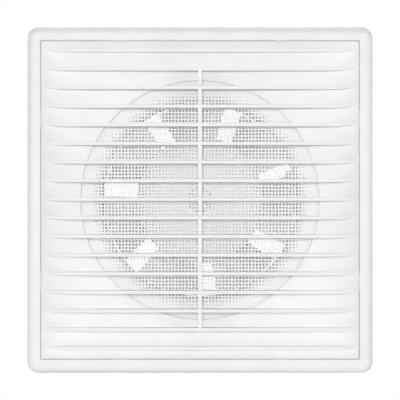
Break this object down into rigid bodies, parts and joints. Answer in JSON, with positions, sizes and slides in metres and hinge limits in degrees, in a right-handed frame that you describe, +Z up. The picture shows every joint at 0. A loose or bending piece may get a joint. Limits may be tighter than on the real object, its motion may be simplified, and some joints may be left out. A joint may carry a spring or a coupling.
{
  "type": "window exhaust fan",
  "caption": "White square-faced exhaust fan with a dished slatted front grille, an insect screen, a bladed impeller and a round rear duct spigot.",
  "frame": {"origin": "on the duct axis in the wall plane, where the rear of the square face meets the wall", "axes": "+Y along the duct axis out of the room, so the grille looks along -Y; +Z up; +X to the right as seen from the front"},
  "size_m": [0.18, 0.0889, 0.18],
  "materials": {
    "white": "satin white moulding",
    "inner_white": "plain white moulding",
    "screen": "white woven-look net",
    "zinc": "bright zinc plate",
    "steel": "ground steel",
    "lamination": "stamped laminations",
    "alloy": "die-cast alloy",
    "bronze": "sintered bronze",
    "copper": "enamelled copper winding",
    "brass": "plain brass",
    "fibre": "fibre washer",
    "rubber": "soft black rubber",
    "sleeve": "flexible sleeve"
  },
  "bodies": {
    "fan_body": {"housing": "white", "motor_carrier": "inner_white", "motor_cover": "inner_white", "terminal_block": "inner_white", "cable_clamp": "inner_white", "insect_screen": "screen", "carrier_screw_1": "zinc", "carrier_screw_2": "zinc", "carrier_screw_3": "zinc", "cover_screw_1": "zinc", "cover_screw_2": "zinc", "cover_screw_3": "zinc", "motor_screw_1": "zinc", "motor_screw_2": "zinc", "terminal_block_screw": "zinc", "clamp_screw_1": "zinc", "clamp_screw_2": "zinc", "stator": "lamination", "front_bracket": "alloy", "rear_bracket": "alloy", "front_bush": "bronze", "rear_bush": "bronze", "coil_1": "copper", "coil_2": "copper", "coil_3": "copper", "coil_4": "copper", "terminal_screw_1": "brass", "terminal_screw_2": "brass", "terminal_screw_3": "brass", "terminal_screw_4": "brass", "cable_grommet": "rubber", "motor_lead": "sleeve"},
    "rotor": {"shaft": "steel", "rotor_core": "lamination", "front_washer": "fibre", "rear_washer": "fibre", "impeller": "inner_white", "impeller_nut": "zinc"},
    "grille": {"front_grille": "white"}
  },
  "joints": [
    {"name": "impeller_spin", "type": "hinge", "parent": "fan_body", "child": "rotor", "pos_m": [0, 0, 0], "axis": [0, 1, 0], "continuous": true},
    {"name": "grille_pull", "type": "slide", "parent": "fan_body", "child": "grille", "axis": [0, -1, 0], "range_m": [0, 0.04]}
  ]
}
